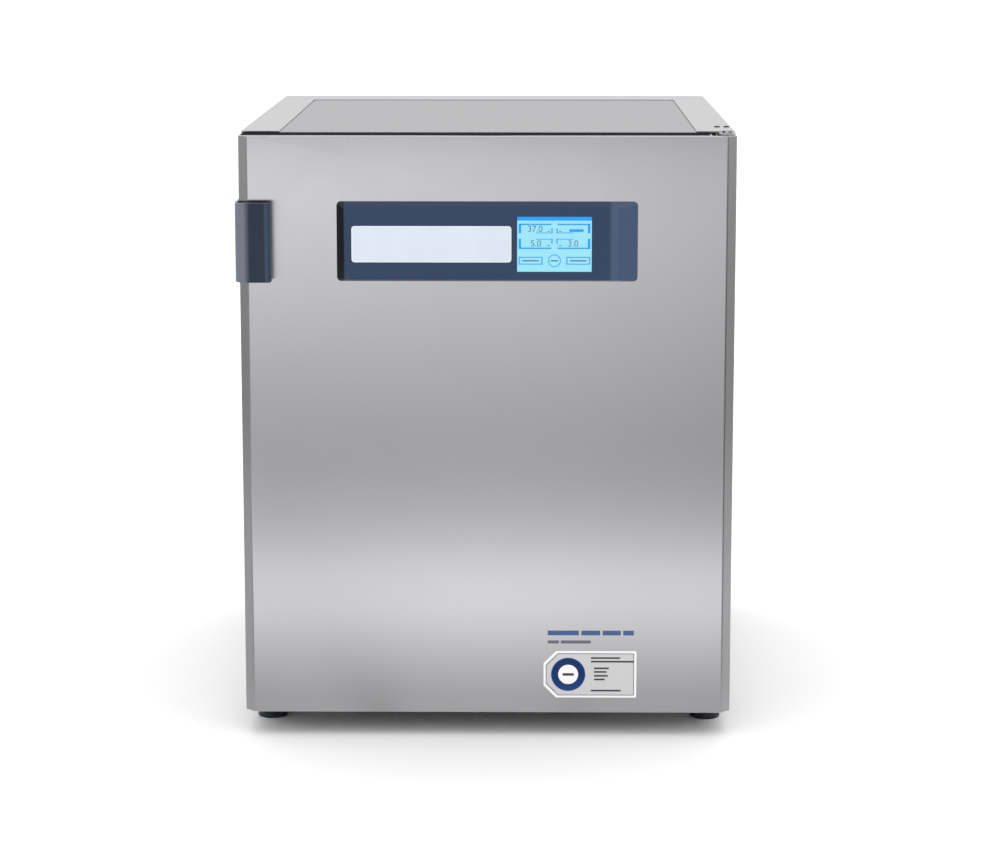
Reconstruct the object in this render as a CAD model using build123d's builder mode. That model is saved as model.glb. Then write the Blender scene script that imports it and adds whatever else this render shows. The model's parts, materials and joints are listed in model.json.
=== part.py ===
from build123d import *
import os

# Laboratory incubator: a gas-controlled cabinet with a solid outer door, a glass
# inner door, three shelves, a ceiling fan and a rear compartment for electronics.
# X runs to the right, Y to the back and Z up. The origin is on the floor, below
# the middle of the cabinet, and the outer door faces -Y.

# ---- driving dimensions, millimetres ----
HALF_W = 390.0            # half the cabinet's width
TOP = 970.0               # highest face above the floor
BOTTOM = 45.0             # underside of the base pan
FRONT = -384.0            # front face of the cabinet, behind the outer door
REAR = 454.0              # outer face of the rear panel
SHEET = 2.0               # folded sheet steel

DOOR_FRONT = -450.0
DOOR_BACK = -394.0
DOOR_LOW = 39.5
DOOR_HIGH = 966.5
DOOR_SKIN = 1.5
HINGE_X = 377.0           # axis of the outer door
HINGE_Y = -408.0
HINGE_PIN_R = 4.0
POCKET_FLOOR = 962.5      # pocket in the door's top edge, below the hinge bracket

CHAMBER_HALF = 303.5      # inside of the chamber
CHAMBER_FRONT = -350.0
CHAMBER_BACK = 279.0
CHAMBER_LOW = 144.0
CHAMBER_HIGH = 814.0
LINER = 1.5
CORNER_R = 30.0
RECESS_HALF = 343.0       # recess around the chamber mouth, for the glass door
RECESS_LOW = 104.0
RECESS_HIGH = 854.0

BULKHEAD = 339.0          # front face of the wall between insulation and electronics
FOAM_TOP = 950.0
RUN = 0.05                # radial clearance of a running fit

GLASS_HALF = 320.0
GLASS_LOW = 127.5
GLASS_HIGH = 830.5
GLASS_FRONT = -362.0
GLASS_T = 6.0
GLASS_PIVOT_X = 329.0
GLASS_PIVOT_Y = -366.0
GLASS_HINGE_Z = (230.0, 728.0)

LATCH_X = -330.0
LATCH_Z = 484.0

SHELF_Z = {"lower": 240.0, "middle": 405.0, "upper": 570.0}
SHELF_HALF = 283.0
SHELF_FRONT = -300.0
SHELF_BACK = 210.0

FAN_Y = 60.0              # fan axis, in the ceiling
PORT_X = 220.0            # access port in the back wall
PORT_Z = 700.0
PORT_R = 20.0
INJECT_X = -140.0         # gas injection tube
INJECT_Z = 720.0

INLET_X = -300.0          # mains inlet on the rear panel
INLET_Z = 160.0
NOZZLE_X = (-180.0, -120.0)
NOZZLE_Z = 260.0

FOOT_X = 357.0
FOOT_FRONT_Y = -329.0
FOOT_REAR_Y = 400.0
SPINDLE_R = 5.0           # threaded spindle of a levelling foot

BRACKET_SCREW_X = (367.5, 382.5)              # screws of the top hinge bracket
BRACKET_SCREW_Y = -296.0
REAR_SCREW_X = 376.0      # screws along the rear panel's sides
REAR_SCREW_Z = (120.0, 380.0, 640.0, 900.0)
COVER_FRONT = 354.0       # front edge of the rear top cover
SPACER_X = 340.0          # rubber spacers that keep the cabinet off the wall
SPACER_Z = (120.0, 880.0)

SWITCH_Y = -365.0         # mains switch, low on the left side
SWITCH_Z = 124.0

BEZEL_HALF = 236.0        # control panel on the door
BEZEL_LOW = 739.5
BEZEL_HIGH = 865.5
BEZEL_FACE = -464.0
BEZEL_LEFT = -223.5       # edges of its flat face
BEZEL_RIGHT = 204.7
BEZEL_FACE_LOW = 743.5
BEZEL_FACE_HIGH = 858.5
LABEL = (-212.0, 38.0, 771.0, 828.1)          # x from, x to, z from, z to
SCREEN = (47.0, 163.4, 756.4, 842.7)

feet = {
    "front_left": (-FOOT_X, FOOT_FRONT_Y),
    "front_right": (FOOT_X, FOOT_FRONT_Y),
    "rear_left": (-FOOT_X, FOOT_REAR_Y),
    "rear_right": (FOOT_X, FOOT_REAR_Y),
}

os.makedirs("parts", exist_ok=True)


def save(piece, name):
    """Label a finished piece and write it to its own file."""
    piece.part.label = name
    export_step(piece.part, f"parts/{name}.step")


def slab(x0, x1, y0, y1, z0, z1, mode=Mode.ADD):
    """A block between two X, two Y and two Z values."""
    with Locations(((x0 + x1) / 2, (y0 + y1) / 2, (z0 + z1) / 2)):
        Box(abs(x1 - x0), abs(y1 - y0), abs(z1 - z0), mode=mode)


def rod_y(x, z, radius, y0, y1, mode=Mode.ADD):
    """A round bar along Y."""
    with Locations(Location((x, (y0 + y1) / 2, z), (90, 0, 0))):
        Cylinder(radius, y1 - y0, mode=mode)


def rod_z(x, y, radius, z0, z1, mode=Mode.ADD):
    """A round bar along Z."""
    with Locations((x, y, (z0 + z1) / 2)):
        Cylinder(radius, z1 - z0, mode=mode)


def upright(y):
    """A plane facing the front at depth y: extrude a negative amount to go back."""
    return Plane.XZ.offset(-y)


# ---- cabinet shell ----
for side, sign in (("left", -1), ("right", 1)):
    with BuildPart() as side_panel:
        outer = sign * HALF_W
        inner = sign * (HALF_W - SHEET)
        slab(outer, inner, FRONT, REAR - SHEET, BOTTOM + SHEET, TOP - SHEET)
        slab(outer, sign * 330.0, FRONT, COVER_FRONT - 0.5, TOP - SHEET, TOP)
        slab(inner, sign * 366.0, REAR - 2 * SHEET, REAR - SHEET, 60.0, 930.0)
        if sign > 0:
            for x in BRACKET_SCREW_X:
                rod_z(x, BRACKET_SCREW_Y, 4.5, TOP - SHEET, TOP, mode=Mode.SUBTRACT)
        else:
            slab(outer, inner, SWITCH_Y - 9, SWITCH_Y + 9, SWITCH_Z - 10, SWITCH_Z + 10, mode=Mode.SUBTRACT)
        for z in REAR_SCREW_Z:
            rod_y(sign * REAR_SCREW_X, z, 2.5, REAR - 2 * SHEET, REAR - SHEET, mode=Mode.SUBTRACT)
    save(side_panel, f"side_panel_{side}")

with BuildPart() as top_panel:
    slab(-329.5, 329.5, FRONT, COVER_FRONT - 0.5, TOP - 3.5, TOP - 1.5)
    for sign in (-1, 1):
        slab(sign * 329.5, sign * 327.5, FRONT + 4, BULKHEAD - 1, TOP - 17, TOP - 3.5)
save(top_panel, "top_panel")

with BuildPart() as rear_top_cover:
    slab(-HALF_W, HALF_W, COVER_FRONT, REAR, TOP - SHEET, TOP)
    slab(-HALF_W, HALF_W, REAR - SHEET, REAR, 938.0, TOP - SHEET)
save(rear_top_cover, "rear_top_cover")

with BuildPart() as base_pan:
    slab(-HALF_W, HALF_W, FRONT, REAR, BOTTOM, BOTTOM + SHEET)
    for sign in (-1, 1):
        slab(sign * 388.0, sign * 386.0, -345.0, 448.0, BOTTOM + SHEET, BOTTOM + 18)
    for x, y in feet.values():
        rod_z(x, y, 9.0, BOTTOM - 2, BOTTOM)
        rod_z(x, y, 14.0, BOTTOM + SHEET, BOTTOM + 17)
        rod_z(x, y, SPINDLE_R + RUN, BOTTOM - 3, BOTTOM + 18, mode=Mode.SUBTRACT)
save(base_pan, "base_pan")

with BuildPart() as front_frame:
    recess_z = (RECESS_LOW + RECESS_HIGH) / 2
    recess_h = RECESS_HIGH - RECESS_LOW
    with BuildSketch(upright(FRONT)):
        with Locations((0, (BOTTOM + SHEET + DOOR_HIGH) / 2)):
            Rectangle(2 * (HALF_W - SHEET), DOOR_HIGH - BOTTOM - SHEET)
        with Locations((0, recess_z)):
            RectangleRounded(2 * RECESS_HALF, recess_h, 8.0, mode=Mode.SUBTRACT)
    extrude(amount=-SHEET)
    with BuildSketch(upright(FRONT + SHEET)):
        with Locations((0, recess_z)):
            RectangleRounded(2 * (RECESS_HALF + SHEET), recess_h + 2 * SHEET, 10.0)
            RectangleRounded(2 * RECESS_HALF, recess_h, 8.0, mode=Mode.SUBTRACT)
    extrude(amount=-(CHAMBER_FRONT - FRONT - SHEET))
    slab(HINGE_X - 14, HINGE_X + 12, FRONT - 1, FRONT + SHEET, TOP - 6, TOP, mode=Mode.SUBTRACT)
save(front_frame, "front_frame")

# ---- chamber ----
chamber_z = (CHAMBER_LOW + CHAMBER_HIGH) / 2
chamber_h = CHAMBER_HIGH - CHAMBER_LOW
with BuildPart() as chamber_liner:
    with BuildSketch(upright(CHAMBER_FRONT)):
        with Locations((0, chamber_z)):
            RectangleRounded(2 * (CHAMBER_HALF + LINER), chamber_h + 2 * LINER, CORNER_R + LINER)
    extrude(amount=-(CHAMBER_BACK + LINER - CHAMBER_FRONT))
    with BuildSketch(upright(CHAMBER_FRONT)):
        with Locations((0, (RECESS_LOW + RECESS_HIGH) / 2)):
            Rectangle(2 * RECESS_HALF, RECESS_HIGH - RECESS_LOW)
    extrude(amount=-LINER)
    with BuildSketch(upright(CHAMBER_FRONT)):
        with Locations((0, chamber_z)):
            RectangleRounded(2 * CHAMBER_HALF, chamber_h, CORNER_R)
    extrude(amount=-(CHAMBER_BACK - CHAMBER_FRONT), mode=Mode.SUBTRACT)
    rod_y(PORT_X, PORT_Z, PORT_R + 5, CHAMBER_BACK - 1, CHAMBER_BACK + LINER + 1, mode=Mode.SUBTRACT)
    rod_y(INJECT_X, INJECT_Z, 4.0, CHAMBER_BACK - 1, CHAMBER_BACK + LINER + 1, mode=Mode.SUBTRACT)
    rod_z(0, FAN_Y, 7.0, CHAMBER_HIGH - 1, CHAMBER_HIGH + LINER + 1, mode=Mode.SUBTRACT)
save(chamber_liner, "chamber_liner")

with BuildPart() as heater_mats:
    for sign in (-1, 1):
        slab(sign * 305.0, sign * 306.0, -290.0, 230.0, 200.0, 760.0)
    slab(-270.0, 270.0, -290.0, 230.0, CHAMBER_LOW - LINER - 1, CHAMBER_LOW - LINER)
save(heater_mats, "heater_mats")

# Foam boards stand 0.5 mm apart, so each one stays a separate plain board.
with BuildPart() as insulation_boards:
    board_front = CHAMBER_FRONT + LINER
    back = CHAMBER_BACK + LINER
    back_low = CHAMBER_LOW - LINER
    back_high = CHAMBER_HIGH + LINER - 0.5
    for sign in (-1, 1):
        slab(sign * 388.0, sign * 306.0, board_front, BULKHEAD, 90.0, FOAM_TOP)
    slab(-305.5, 305.5, board_front, BULKHEAD, 90.0, back_low - 1)
    slab(-305.5, 305.5, board_front, BULKHEAD, CHAMBER_HIGH + LINER, FOAM_TOP)
    slab(-305.5, PORT_X - 30, back, BULKHEAD, back_low, back_high)
    slab(PORT_X + 30, 305.5, back, BULKHEAD, back_low, back_high)
    slab(PORT_X - 29.5, PORT_X + 29.5, back, BULKHEAD, back_low, PORT_Z - 30)
    slab(PORT_X - 29.5, PORT_X + 29.5, back, BULKHEAD, PORT_Z + 30, back_high)
    rod_y(INJECT_X, INJECT_Z, 4.0, back, BULKHEAD, mode=Mode.SUBTRACT)
    rod_z(0, FAN_Y, 45.0, CHAMBER_HIGH + LINER, FOAM_TOP, mode=Mode.SUBTRACT)
save(insulation_boards, "insulation_boards")

with BuildPart() as glass_door_seal:
    glass_z = (GLASS_LOW + GLASS_HIGH) / 2
    glass_h = GLASS_HIGH - GLASS_LOW
    with BuildSketch(upright(GLASS_FRONT + GLASS_T + 0.3)):
        with Locations((0, glass_z)):
            RectangleRounded(2 * GLASS_HALF - 2, glass_h - 2, 12.0)
            RectangleRounded(2 * GLASS_HALF - 24, glass_h - 24, 8.0, mode=Mode.SUBTRACT)
    extrude(amount=-(CHAMBER_FRONT - GLASS_FRONT - GLASS_T - 0.3))
save(glass_door_seal, "glass_door_seal")

# Two hinge brackets with their pins, and the hook that the latch turns behind.
with BuildPart() as glass_door_brackets:
    for z in GLASS_HINGE_Z:
        rod_z(GLASS_PIVOT_X, GLASS_PIVOT_Y, 6.0, z - 14, z - 0.25)
        slab(GLASS_PIVOT_X - 5, GLASS_PIVOT_X + 8, GLASS_PIVOT_Y, CHAMBER_FRONT, z - 14, z - 0.25)
        rod_z(GLASS_PIVOT_X, GLASS_PIVOT_Y, 3.0, z - 0.25, z + 14)
    slab(-340, -324, -364.5, CHAMBER_FRONT, LATCH_Z - 32, LATCH_Z - 27)
    slab(-340, -324, -364.5, -362.0, LATCH_Z - 27, LATCH_Z - 6.5)
save(glass_door_brackets, "glass_door_brackets")

with BuildPart() as shelf_uprights:
    for sign in (-1, 1):
        for y in (-240.0, 150.0):
            slab(sign * 300.0, sign * CHAMBER_HALF, y - 12, y + 12, 185.0, 780.0)
            for n in range(12):
                z = 210.0 + 45.0 * n
                slab(sign * 299.0, sign * 304.0, y - 5, y + 5, z, z + 12, mode=Mode.SUBTRACT)
save(shelf_uprights, "shelf_uprights")

with BuildPart() as shelf_supports:
    for z in SHELF_Z.values():
        for sign in (-1, 1):
            slab(sign * 274.0, sign * 300.0, -285.0, 225.0, z - 2.3, z - 0.3)
            slab(sign * 298.0, sign * 300.0, -285.0, 225.0, z - 0.3, z + 16)
            slab(sign * 274.0, sign * 298.0, 223.0, 225.0, z - 0.3, z + 16)
save(shelf_supports, "shelf_supports")

for name, z in SHELF_Z.items():
    with BuildPart() as shelf:
        slab(-SHELF_HALF, SHELF_HALF, SHELF_FRONT, SHELF_BACK, z, z + 1.5)
        slab(-SHELF_HALF, SHELF_HALF, SHELF_FRONT, SHELF_FRONT + 1.5, z + 1.5, z + 12)
        slab(-SHELF_HALF, SHELF_HALF, SHELF_BACK - 1.5, SHELF_BACK, z + 1.5, z + 12)
        with BuildSketch(Plane.XY.offset(z)):
            with Locations((0, (SHELF_FRONT + SHELF_BACK) / 2)):
                with GridLocations(40.0, 40.0, 13, 12):
                    Circle(7.0)
        extrude(amount=1.5, mode=Mode.SUBTRACT)
    save(shelf, f"shelf_{name}")

with BuildPart() as water_pan:
    slab(-276, 276, -306, 240, CHAMBER_LOW + 0.3, CHAMBER_LOW + 36)
    slab(-274.5, 274.5, -304.5, 238.5, CHAMBER_LOW + 1.8, CHAMBER_LOW + 36, mode=Mode.SUBTRACT)
save(water_pan, "water_pan")

# ---- ceiling fan ----
with BuildPart() as fan_motor:
    rod_z(0, FAN_Y, 42.0, CHAMBER_HIGH + LINER, 900.0)
    rod_z(0, FAN_Y, 30.0, 900.0, 925.0)
    rod_z(0, FAN_Y, 4.0 + RUN, CHAMBER_HIGH, 880.0, mode=Mode.SUBTRACT)
save(fan_motor, "fan_motor")

with BuildPart() as fan_impeller:
    rod_z(0, FAN_Y, 4.0, 790.0, 870.0)
    rod_z(0, FAN_Y, 14.0, 776.0, 808.0)
    rod_z(0, FAN_Y, 62.0, 806.0, 808.0)
    for n in range(16):
        with Locations(Location((0, FAN_Y, 794.0), (0, 0, 22.5 * n))):
            with Locations(Location((46.0, 0, 0), (0, 0, 30))):
                Box(28.0, 1.6, 26.0)
save(fan_impeller, "fan_impeller")

with BuildPart() as air_plenum:
    slab(-285, 285, -160, 270, 766.0, 767.5)
    slab(-285, 285, -160, -158.5, 767.5, 790.0)
    for sign in (-1, 1):
        for y in (-140.0, 250.0):
            slab(sign * 272, sign * 258, y - 8, y + 8, 767.5, CHAMBER_HIGH)
    rod_z(0, FAN_Y, 46.0, 766.0, 767.5, mode=Mode.SUBTRACT)
save(air_plenum, "air_plenum")

with BuildPart() as hepa_filter:
    with BuildSketch(Plane.XY.offset(722.0)):
        with Locations((0, FAN_Y)):
            Circle(70.0)
    extrude(amount=5)
    with BuildSketch(Plane.XY.offset(727.0)):
        with Locations((0, FAN_Y)):
            Circle(64.0)
            Circle(44.0, mode=Mode.SUBTRACT)
    extrude(amount=34)
    with BuildSketch(Plane.XY.offset(761.0)):
        with Locations((0, FAN_Y)):
            Circle(70.0)
            Circle(44.0, mode=Mode.SUBTRACT)
    extrude(amount=5)
save(hepa_filter, "hepa_filter")

with BuildPart() as sensor_head:
    rod_y(-220, 640, 21.0, 262.0, CHAMBER_BACK)
    rod_y(-220, 640, 15.0, 236.0, 262.0)
    rod_y(-165, 640, 3.0, 236.0, CHAMBER_BACK)
save(sensor_head, "sensor_head")

# ---- rear compartment ----
with BuildPart() as rear_bulkhead:
    slab(-386, 386, BULKHEAD, BULKHEAD + SHEET, BOTTOM + SHEET, 966.0)
    rod_y(PORT_X, PORT_Z, PORT_R + 5, BULKHEAD - 1, BULKHEAD + 3, mode=Mode.SUBTRACT)
    rod_y(INJECT_X, INJECT_Z, 4.0, BULKHEAD - 1, BULKHEAD + 3, mode=Mode.SUBTRACT)
save(rear_bulkhead, "rear_bulkhead")

with BuildPart() as rear_panel:
    slab(-HALF_W, HALF_W, REAR - SHEET, REAR, BOTTOM + SHEET, 937.5)
    rod_y(PORT_X, PORT_Z, PORT_R + 5, REAR - 3, REAR + 1, mode=Mode.SUBTRACT)
    for x in NOZZLE_X:
        rod_y(x, NOZZLE_Z, 5.0, REAR - 3, REAR + 1, mode=Mode.SUBTRACT)
    slab(INLET_X - 14, INLET_X + 14, REAR - 3, REAR + 1, INLET_Z - 24, INLET_Z + 24, mode=Mode.SUBTRACT)
    for sign in (-1, 1):
        for z in REAR_SCREW_Z:
            rod_y(sign * REAR_SCREW_X, z, 2.5, REAR - 3, REAR + 1, mode=Mode.SUBTRACT)
    with BuildSketch(upright(REAR)):
        for z in (180.0, 820.0):
            with Locations((60.0, z)):
                with GridLocations(80.0, 14.0, 3, 7):
                    SlotOverall(64.0, 5.0)
    extrude(amount=SHEET, mode=Mode.SUBTRACT)
save(rear_panel, "rear_panel")

with BuildPart() as access_port_tube:
    rod_y(PORT_X, PORT_Z, PORT_R + 5, CHAMBER_BACK, REAR)
    rod_y(PORT_X, PORT_Z, PORT_R + 12, REAR, REAR + 3)
    rod_y(PORT_X, PORT_Z, PORT_R, CHAMBER_BACK - 1, REAR + 4, mode=Mode.SUBTRACT)
save(access_port_tube, "access_port_tube")

with BuildPart() as port_stopper:
    rod_y(PORT_X, PORT_Z, PORT_R - 0.3, 432.0, REAR + 3.3)
    rod_y(PORT_X, PORT_Z, PORT_R + 8, REAR + 3.3, 474.0)
    fillet(port_stopper.faces().sort_by(Axis.Y)[-1].edges(), 5.0)
save(port_stopper, "port_stopper")

# The inlet is a three-pin socket with a fuse drawer above it.
with BuildPart() as mains_inlet:
    slab(INLET_X - 14, INLET_X + 14, 420.0, REAR, INLET_Z - 24, INLET_Z + 24)
    slab(INLET_X - 25, INLET_X + 25, REAR, REAR + 3, INLET_Z - 29, INLET_Z + 29)
    slab(INLET_X - 12, INLET_X + 12, 438.0, REAR + 4, INLET_Z - 20, INLET_Z - 3.5, mode=Mode.SUBTRACT)
    slab(INLET_X - 12, INLET_X + 12, 430.0, REAR + 4, INLET_Z + 5, INLET_Z + 19, mode=Mode.SUBTRACT)
    for x, z in ((-7.0, -14.0), (7.0, -14.0), (0.0, -9.0)):
        slab(INLET_X + x - 1, INLET_X + x + 1, 438.0, 450.0, INLET_Z + z - 2, INLET_Z + z + 2)
save(mains_inlet, "mains_inlet")

with BuildPart() as fuse_drawer:
    slab(INLET_X - 11.7, INLET_X + 11.7, 432.0, REAR + 3, INLET_Z + 5.3, INLET_Z + 18.7)
    slab(INLET_X - 11.7, INLET_X + 11.7, REAR + 3, REAR + 6, INLET_Z + 14, INLET_Z + 18.7)
    slab(INLET_X - 9, INLET_X + 9, 436.0, 450.0, INLET_Z + 8, INLET_Z + 18.7, mode=Mode.SUBTRACT)
save(fuse_drawer, "fuse_drawer")

with BuildPart() as gas_inlet_stubs:
    for x in NOZZLE_X:
        rod_y(x, NOZZLE_Z, 5.0, 410.0, REAR)
        with BuildSketch(upright(REAR)):
            with Locations((x, NOZZLE_Z)):
                RegularPolygon(8.5, 6)
        extrude(amount=-6)
        rod_y(x, NOZZLE_Z, 3.0, REAR + 6, 478.0)
save(gas_inlet_stubs, "gas_inlet_stubs")

with BuildPart() as gas_valve_block:
    slab(-205, -95, 370.0, 410.0, NOZZLE_Z - 25, NOZZLE_Z + 25)
    for x in NOZZLE_X:
        rod_z(x, 390.0, 16.0, NOZZLE_Z + 25, NOZZLE_Z + 75)
    rod_y(-150, NOZZLE_Z, 8.0, BULKHEAD + SHEET, 370.0)
save(gas_valve_block, "gas_valve_block")

# The injection tube rises from the valve block and turns into the chamber.
with BuildPart() as injection_tube:
    with BuildLine(Plane.YZ.offset(INJECT_X)) as route:
        FilletPolyline((390.0, NOZZLE_Z + 75), (390.0, INJECT_Z), (262.0, INJECT_Z), radius=20.0)
    with BuildSketch(Plane.XY.offset(NOZZLE_Z + 75).move(Location((INJECT_X, 390.0, 0)))):
        Circle(4.0)
    sweep(path=route.line)
save(injection_tube, "injection_tube")

with BuildPart() as control_board:
    slab(-60, 160, 352.0, 354.0, 420.0, 600.0)
    for x, z in ((-45, 435), (145, 435), (-45, 585), (145, 585)):
        rod_y(x, z, 4.0, BULKHEAD + SHEET, 352.0)
    slab(-30, 10, 354.0, 366.0, 540.0, 580.0)
    slab(40, 80, 354.0, 359.0, 480.0, 520.0)
    slab(100, 145, 354.0, 372.0, 450.0, 560.0)
    slab(-40, 20, 354.0, 376.0, 435.0, 470.0)
save(control_board, "control_board")

with BuildPart() as power_supply:
    slab(-340, -200, BULKHEAD + SHEET, 395.0, 400.0, 620.0)
save(power_supply, "power_supply")

with BuildPart() as wall_spacers:
    for x in (-SPACER_X, SPACER_X):
        for z in SPACER_Z:
            rod_y(x, z, 13.0, REAR, 476.0)
            rod_y(x, z, 10.0, 476.0, 480.0)
save(wall_spacers, "wall_spacers")

with BuildPart() as housing_screws:
    for x in BRACKET_SCREW_X:
        rod_z(x, BRACKET_SCREW_Y, 4.5, TOP - SHEET, TOP - 0.4)
        rod_z(x, BRACKET_SCREW_Y, 2.4, TOP - 12, TOP - SHEET)
    for sign in (-1, 1):
        for z in REAR_SCREW_Z:
            rod_y(sign * REAR_SCREW_X, z, 4.5, REAR, REAR + 1.6)
            rod_y(sign * REAR_SCREW_X, z, 2.4, REAR - 10, REAR)
save(housing_screws, "housing_screws")

# ---- mains switch ----
with BuildPart() as switch_frame:
    slab(-392.0, -390.0, SWITCH_Y - 11, SWITCH_Y + 11, SWITCH_Z - 12, SWITCH_Z + 12)
    slab(-390.0, -372.0, SWITCH_Y - 9, SWITCH_Y + 9, SWITCH_Z - 10, SWITCH_Z + 10)
    slab(-393.0, -376.0, SWITCH_Y - 7, SWITCH_Y + 7, SWITCH_Z - 8.5, SWITCH_Z + 8.5, mode=Mode.SUBTRACT)
save(switch_frame, "switch_frame")

with BuildPart() as power_rocker:
    with BuildSketch(upright(SWITCH_Y - 6.7)):
        with BuildLine():
            Polyline((-380, SWITCH_Z - 4.5), (-391.5, SWITCH_Z - 6.6), (-396.5, SWITCH_Z - 6.4),
                     (-393.6, SWITCH_Z + 0.4), (-392, SWITCH_Z + 6.6), (-380, SWITCH_Z + 4.5), close=True)
        make_face()
    extrude(amount=-13.4)
save(power_rocker, "power_rocker")

# ---- feet ----
for name, (x, y) in feet.items():
    with BuildPart() as foot_pad:
        rod_z(x, y, 24.5, 0, 20.0)
        fillet(foot_pad.faces().sort_by(Axis.Z)[-1].edges(), 8.0)
        rod_z(x, y, 10.0, 19.0, 26.0)
        rod_z(x, y, 6.0 + 0.3, 11.7, 27.0, mode=Mode.SUBTRACT)
    save(foot_pad, f"foot_pad_{name}")
    with BuildPart() as foot_spindle:
        rod_z(x, y, 6.0, 12.0, 27.0)
        with BuildSketch(Plane.XY.offset(27.0)):
            with Locations((x, y)):
                RegularPolygon(10.0, 6)
        extrude(amount=8)
        rod_z(x, y, SPINDLE_R, 35.0, 84.0)
    save(foot_spindle, f"foot_spindle_{name}")

# ---- outer door hinges ----
TOP_BRACKET = (TOP - 5.0, TOP - SHEET)
LOW_BRACKET = (36.5, 39.0)
with BuildPart() as door_hinge_brackets:
    for z0, z1 in (TOP_BRACKET, LOW_BRACKET):
        rod_z(HINGE_X, HINGE_Y, 13.0, z0, z1)
        slab(HINGE_X - 13, HINGE_X + 13, HINGE_Y, FRONT, z0, z1)
    slab(HINGE_X - 13, HINGE_X + 11, FRONT, -284.0, *TOP_BRACKET)
    slab(HINGE_X - 13, HINGE_X + 13, FRONT, -358.0, LOW_BRACKET[0], BOTTOM)
    for x in BRACKET_SCREW_X:
        rod_z(x, BRACKET_SCREW_Y, 2.4, TOP - 6, TOP, mode=Mode.SUBTRACT)
    rod_z(HINGE_X, HINGE_Y, HINGE_PIN_R, 942.0, TOP - SHEET)
    rod_z(HINGE_X, HINGE_Y, 6.0, TOP - SHEET, TOP)
    rod_z(HINGE_X, HINGE_Y, HINGE_PIN_R, LOW_BRACKET[1], 64.0)
    rod_z(HINGE_X, HINGE_Y, 6.0, LOW_BRACKET[0] - 2, LOW_BRACKET[0])
save(door_hinge_brackets, "door_hinge_brackets")

# ---- outer door ----
with BuildPart() as door_skin:
    slab(-HALF_W, HALF_W, DOOR_FRONT, DOOR_BACK, DOOR_LOW, DOOR_HIGH)
    front_uprights = door_skin.edges().filter_by(Axis.Z).group_by(Axis.Y)[0]
    fillet(front_uprights, 12.0)
    with BuildSketch(Plane.XY.offset(DOOR_LOW + DOOR_SKIN)):
        with Locations((0, (DOOR_FRONT + DOOR_SKIN + DOOR_BACK) / 2)):
            inside = Rectangle(2 * (HALF_W - DOOR_SKIN), DOOR_BACK - DOOR_FRONT - DOOR_SKIN)
        fillet(inside.vertices().group_by(Axis.Y)[0], 12.0 - DOOR_SKIN)
    extrude(amount=DOOR_HIGH - DOOR_LOW - 2 * DOOR_SKIN, mode=Mode.SUBTRACT)
    # The top hinge bracket lies in a pocket at the corner, open to the back and the side.
    slab(350.5, HALF_W, -431.5, DOOR_BACK, POCKET_FLOOR - 1.5, DOOR_HIGH)
    slab(352.0, HALF_W + 1, -430.0, DOOR_BACK, POCKET_FLOOR, DOOR_HIGH, mode=Mode.SUBTRACT)
    rod_z(HINGE_X, HINGE_Y, 7.0, POCKET_FLOOR - 1.5, POCKET_FLOOR, mode=Mode.SUBTRACT)
    rod_z(HINGE_X, HINGE_Y, 7.0, DOOR_LOW, DOOR_LOW + DOOR_SKIN, mode=Mode.SUBTRACT)
    slab(-216, 196, DOOR_FRONT, DOOR_FRONT + DOOR_SKIN, 750, 852, mode=Mode.SUBTRACT)
save(door_skin, "door_skin")

with BuildPart() as door_insulation:
    slab(-388, 388, DOOR_FRONT + DOOR_SKIN, DOOR_BACK - SHEET, DOOR_LOW + 2, DOOR_HIGH - 6)
    foam_uprights = door_insulation.edges().filter_by(Axis.Z).group_by(Axis.Y)[0]
    fillet(foam_uprights, 11.0)
    slab(-222, 202, DOOR_FRONT, -424.0, 744, 858, mode=Mode.SUBTRACT)
    rod_z(HINGE_X, HINGE_Y, 9.0, DOOR_LOW, 72.0, mode=Mode.SUBTRACT)
    rod_z(HINGE_X, HINGE_Y, 9.0, 934.0, DOOR_HIGH, mode=Mode.SUBTRACT)
save(door_insulation, "door_insulation")

with BuildPart() as door_inner_panel:
    slab(-388, 388, DOOR_BACK - SHEET, DOOR_BACK, DOOR_LOW + 2, DOOR_HIGH - 6)
save(door_inner_panel, "door_inner_panel")

with BuildPart() as door_hinge_bushes:
    rod_z(HINGE_X, HINGE_Y, 9.0, 934.0, POCKET_FLOOR - 1.5)
    rod_z(HINGE_X, HINGE_Y, 7.0, POCKET_FLOOR - 1.5, POCKET_FLOOR)
    rod_z(HINGE_X, HINGE_Y, 7.0, DOOR_LOW, DOOR_LOW + 2)
    rod_z(HINGE_X, HINGE_Y, 9.0, DOOR_LOW + 2, 72.0)
    rod_z(HINGE_X, HINGE_Y, HINGE_PIN_R + RUN, 30.0, 67.0, mode=Mode.SUBTRACT)
    rod_z(HINGE_X, HINGE_Y, HINGE_PIN_R + RUN, 939.0, 963.0, mode=Mode.SUBTRACT)
save(door_hinge_bushes, "door_hinge_bushes")

with BuildPart() as door_gasket:
    with BuildSketch(upright(DOOR_BACK)):
        with Locations((0, (60.0 + 950.0) / 2)):
            RectangleRounded(2 * 372.0, 890.0, 14.0)
            RectangleRounded(2 * 354.0, 854.0, 6.0, mode=Mode.SUBTRACT)
    extrude(amount=-(FRONT - DOOR_BACK - 0.3))
save(door_gasket, "door_gasket")

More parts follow.
